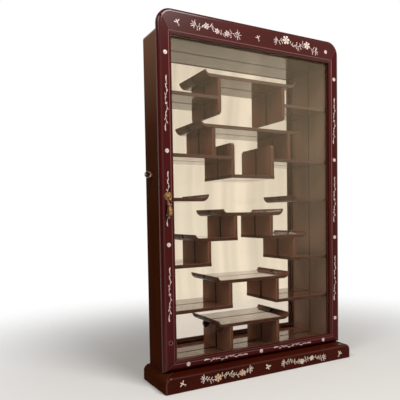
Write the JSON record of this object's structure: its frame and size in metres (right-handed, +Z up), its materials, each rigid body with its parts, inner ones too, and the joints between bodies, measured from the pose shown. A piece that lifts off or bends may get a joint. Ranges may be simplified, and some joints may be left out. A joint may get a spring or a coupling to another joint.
{
  "type": "wall curio cabinet",
  "caption": "Shallow curio cabinet in lacquered rosewood with a framed glass door, mirrored back, stepped upturned shelves, moulded base and a brass drop pull.",
  "frame": {"origin": "middle of the base's underside, midway between its front and back", "axes": "+Z up, front towards -Y, +X to the viewer's right"},
  "size_m": [0.6469, 0.1494, 0.996],
  "materials": {
    "lacquered_rosewood": "gloss lacquer",
    "shelf_rosewood": "satin lacquer",
    "back_board": "raw",
    "mirror_glass": "polished",
    "door_glass": "polished",
    "aged_brass": "aged satin",
    "catch_steel": "plated"
  },
  "bodies": {
    "cabinet": {"left_side": "lacquered_rosewood", "right_side": "lacquered_rosewood", "top_board": "lacquered_rosewood", "base_front": "lacquered_rosewood", "base_left_end": "lacquered_rosewood", "base_right_end": "lacquered_rosewood", "top_shelf": "shelf_rosewood", "second_shelf": "shelf_rosewood", "middle_shelf": "shelf_rosewood", "low_shelf": "shelf_rosewood", "low_table_top": "shelf_rosewood", "left_ledge": "shelf_rosewood", "right_ledge": "shelf_rosewood", "left_mid_shelf": "shelf_rosewood", "right_mid_shelf": "shelf_rosewood", "ceiling_board": "shelf_rosewood", "bottom_board": "shelf_rosewood", "tray_floor": "shelf_rosewood", "tray_ends": "shelf_rosewood", "low_table_legs": "shelf_rosewood", "low_table_brackets": "shelf_rosewood", "left_upper_shelf": "shelf_rosewood", "right_upper_shelf": "shelf_rosewood", "left_tray_shelf": "shelf_rosewood", "right_tray_shelf": "shelf_rosewood", "left_lower_shelf": "shelf_rosewood", "right_lower_shelf": "shelf_rosewood", "left_bottom_shelf": "shelf_rosewood", "right_bottom_shelf": "shelf_rosewood", "left_top_panel": "shelf_rosewood", "right_top_panel": "shelf_rosewood", "left_second_panel": "shelf_rosewood", "right_second_panel": "shelf_rosewood", "left_middle_panel": "shelf_rosewood", "right_middle_panel": "shelf_rosewood", "left_mid_post": "shelf_rosewood", "right_mid_post": "shelf_rosewood", "left_low_panel": "shelf_rosewood", "right_low_panel": "shelf_rosewood", "back_panel": "back_board", "mirror": "mirror_glass", "hinge_cabinet_leaves": "aged_brass", "hinge_pins": "aged_brass", "cabinet_screws": "aged_brass", "screw_eye": "aged_brass", "hanger_plates": "aged_brass", "magnetic_catch": "catch_steel"},
    "door": {"door_left_stile": "lacquered_rosewood", "door_right_stile": "lacquered_rosewood", "door_top_rail": "lacquered_rosewood", "door_bottom_rail": "lacquered_rosewood", "door_glass": "door_glass", "glazing_stops": "shelf_rosewood", "hinge_door_leaves": "aged_brass", "door_screws": "aged_brass", "catch_strike": "catch_steel", "pull_rosette": "aged_brass", "pull_post": "aged_brass"},
    "drop": {"drop_pull": "aged_brass"}
  },
  "joints": [
    {"name": "door_hinge", "type": "hinge", "parent": "cabinet", "child": "door", "pos_m": [0.3131, -0.019, 0.521], "axis": [0, 0, 1], "range_deg": [0, 170]},
    {"name": "drop_pull_swing", "type": "hinge", "parent": "door", "child": "drop", "pos_m": [-0.29, -0.05085, 0.501], "axis": [-1, 0, 0], "range_deg": [0, 90]}
  ]
}
